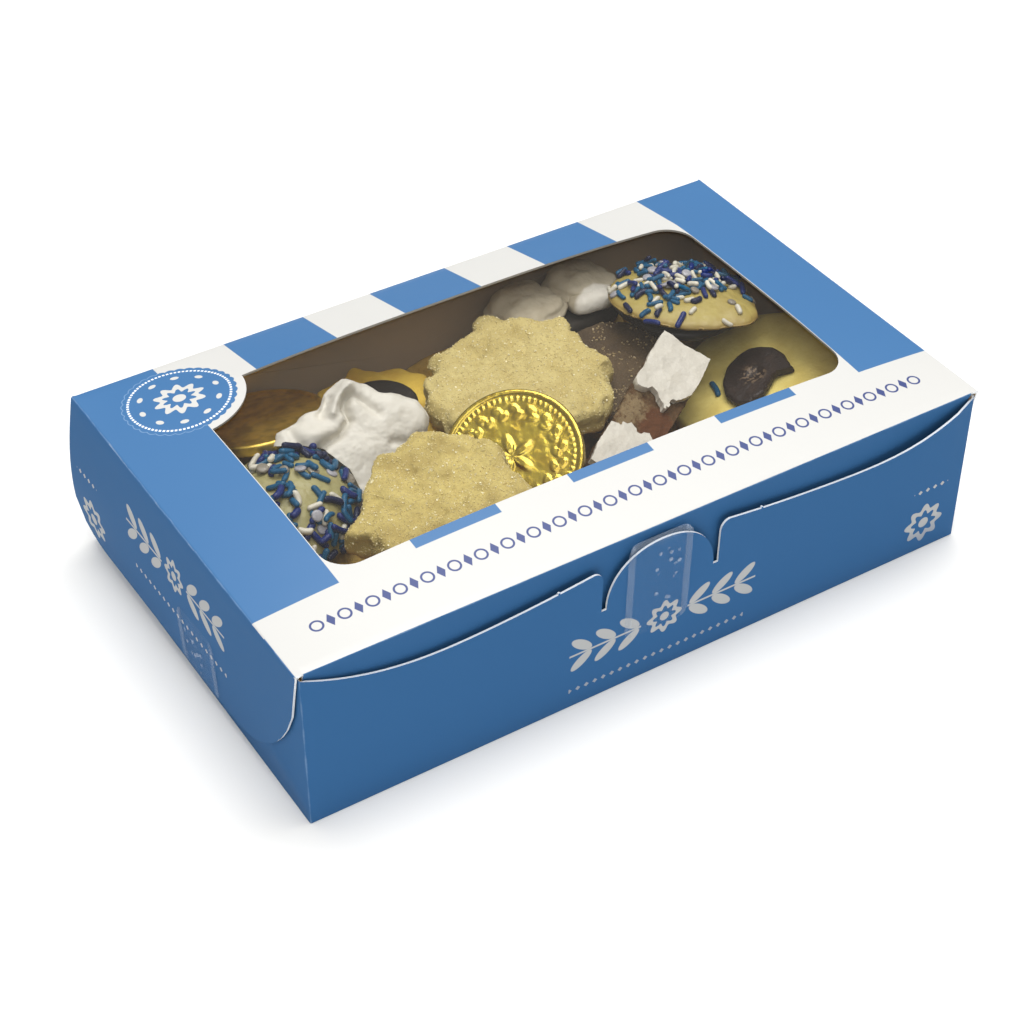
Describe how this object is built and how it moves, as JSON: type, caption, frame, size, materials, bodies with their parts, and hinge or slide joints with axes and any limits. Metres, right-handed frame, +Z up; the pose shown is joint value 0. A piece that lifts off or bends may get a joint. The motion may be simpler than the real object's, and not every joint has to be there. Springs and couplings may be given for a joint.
{
  "type": "box of cookies",
  "caption": "Long low folded carton with a clear window in its lid, filled with cookies, meringues, an iced bar and foil coins.",
  "frame": {"origin": "middle of the carton's underside", "axes": "+Z up, +X along the carton's length, -Y towards the front wall with the tab"},
  "size_m": [0.2108, 0.1269, 0.0554],
  "materials": {
    "board": "satin print",
    "film": "clear gloss",
    "seal": "clear gloss",
    "golden_biscuit": "matt crumb",
    "sugar_biscuit": "matt, sugar grains",
    "chocolate": "satin",
    "brown_biscuit": "matt crumb",
    "meringue": "matt",
    "icing": "matt",
    "cream_icing": "satin",
    "gold_foil": "crinkled foil"
  },
  "bodies": {
    "root": {"carton": "board", "window_film": "film", "front_seal": "seal", "side_seal": "seal", "low_cookie_1": "golden_biscuit", "low_cookie_2": "golden_biscuit", "low_cookie_3": "golden_biscuit", "low_cookie_4": "golden_biscuit", "low_cookie_5": "golden_biscuit", "low_cookie_6": "golden_biscuit", "mid_cookie_1": "golden_biscuit", "mid_cookie_2": "golden_biscuit", "mid_cookie_3": "golden_biscuit", "mid_cookie_4": "golden_biscuit", "mid_cookie_5": "golden_biscuit", "mid_cookie_6": "golden_biscuit", "mid_cookie_7": "golden_biscuit", "cookie_button": "sugar_biscuit", "cookie_flower": "sugar_biscuit", "cookie_sugar_back": "sugar_biscuit", "cookie_sugar_front": "sugar_biscuit", "button_disc": "chocolate", "flower_disc": "chocolate", "cookie_chocolate": "chocolate", "meringue_back_base": "chocolate", "cookie_brown": "brown_biscuit", "bar_core": "brown_biscuit", "meringue_front": "meringue", "meringue_back": "meringue", "bar_icing_upper": "icing", "bar_icing_lower": "icing", "cookie_sprinkled_front": "cream_icing", "cookie_sprinkled_back": "cream_icing", "coin_front": "gold_foil", "coin_back": "gold_foil"}
  },
  "joints": []
}
